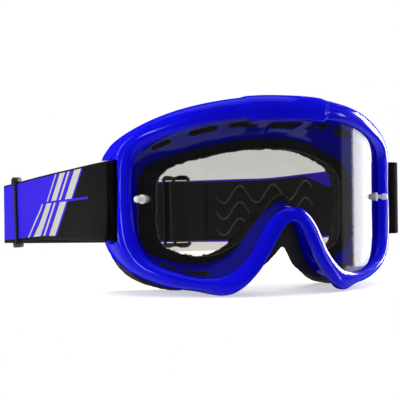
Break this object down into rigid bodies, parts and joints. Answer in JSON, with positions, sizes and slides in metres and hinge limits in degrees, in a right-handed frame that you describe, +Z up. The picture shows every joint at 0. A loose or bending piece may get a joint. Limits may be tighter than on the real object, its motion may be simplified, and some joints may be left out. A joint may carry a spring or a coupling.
{
  "type": "motocross goggles",
  "caption": "Motocross goggles with a glossy blue wrapped frame, clear lens with tear-off posts, layered face foam and a printed elastic strap with two sliders",
  "frame": {"origin": "Middle of the face foam's back at the brow, where it meets the forehead, level with the lens posts", "axes": "+X across the face, to the right as the goggles are seen from the front; +Y back, toward the wearer's head; +Z up"},
  "size_m": [0.208, 0.2897, 0.1109],
  "materials": {
    "blue_shell": "glossy moulded flexible plastic",
    "clear_lens": "clear polycarbonate with a hard coat",
    "vent_foam": "open-cell filter foam",
    "dark_foam": "closed-cell face foam",
    "black_fleece": "brushed fleece",
    "printed_webbing": "elastic webbing with a printed outer face",
    "black_webbing": "woven elastic webbing",
    "silicone": "clear silicone bead",
    "thread": "polyester thread",
    "black_plastic": "moulded acetal",
    "white_nylon": "moulded nylon"
  },
  "bodies": {
    "goggle_frame": {"frame": "blue_shell", "lens": "clear_lens", "vent_foam_top": "vent_foam", "vent_foam_bottom_left": "vent_foam", "vent_foam_bottom_right": "vent_foam", "foam_base": "dark_foam", "foam_face": "dark_foam", "face_fleece": "black_fleece", "strap_band": "printed_webbing", "strap_return_left": "black_webbing", "strap_return_right": "black_webbing", "grip_beads_rear": "silicone", "grip_beads_left": "silicone", "grip_beads_right": "silicone"},
    "left_slider": {"slider_left": "black_plastic", "strap_tab_left": "black_webbing", "tab_stitches_left": "thread"},
    "right_slider": {"slider_right": "black_plastic", "strap_tab_right": "black_webbing", "tab_stitches_right": "thread"},
    "left_post": {"post_left": "white_nylon", "post_washer_left": "white_nylon"},
    "right_post": {"post_right": "white_nylon", "post_washer_right": "white_nylon"}
  },
  "joints": [
    {"name": "left_slider_slide", "type": "slide", "parent": "goggle_frame", "child": "left_slider", "axis": [0.1346, -0.9888, 0.0643], "range_m": [-0.01, 0.034], "deforming": ["strap_return_left", "grip_beads_left"]},
    {"name": "right_slider_slide", "type": "slide", "parent": "goggle_frame", "child": "right_slider", "axis": [0.7118, -0.7022, 0.0134], "range_m": [-0.012, 0.044], "deforming": ["strap_return_right", "grip_beads_right"]},
    {"name": "left_post_turn", "type": "hinge", "parent": "goggle_frame", "child": "left_post", "pos_m": [-0.0756, -0.00546, 0.0008], "axis": [-0.756, -0.6546, 0], "continuous": true},
    {"name": "right_post_turn", "type": "hinge", "parent": "goggle_frame", "child": "right_post", "pos_m": [0.0756, -0.00546, 0.0008], "axis": [0.756, -0.6546, 0], "continuous": true}
  ]
}
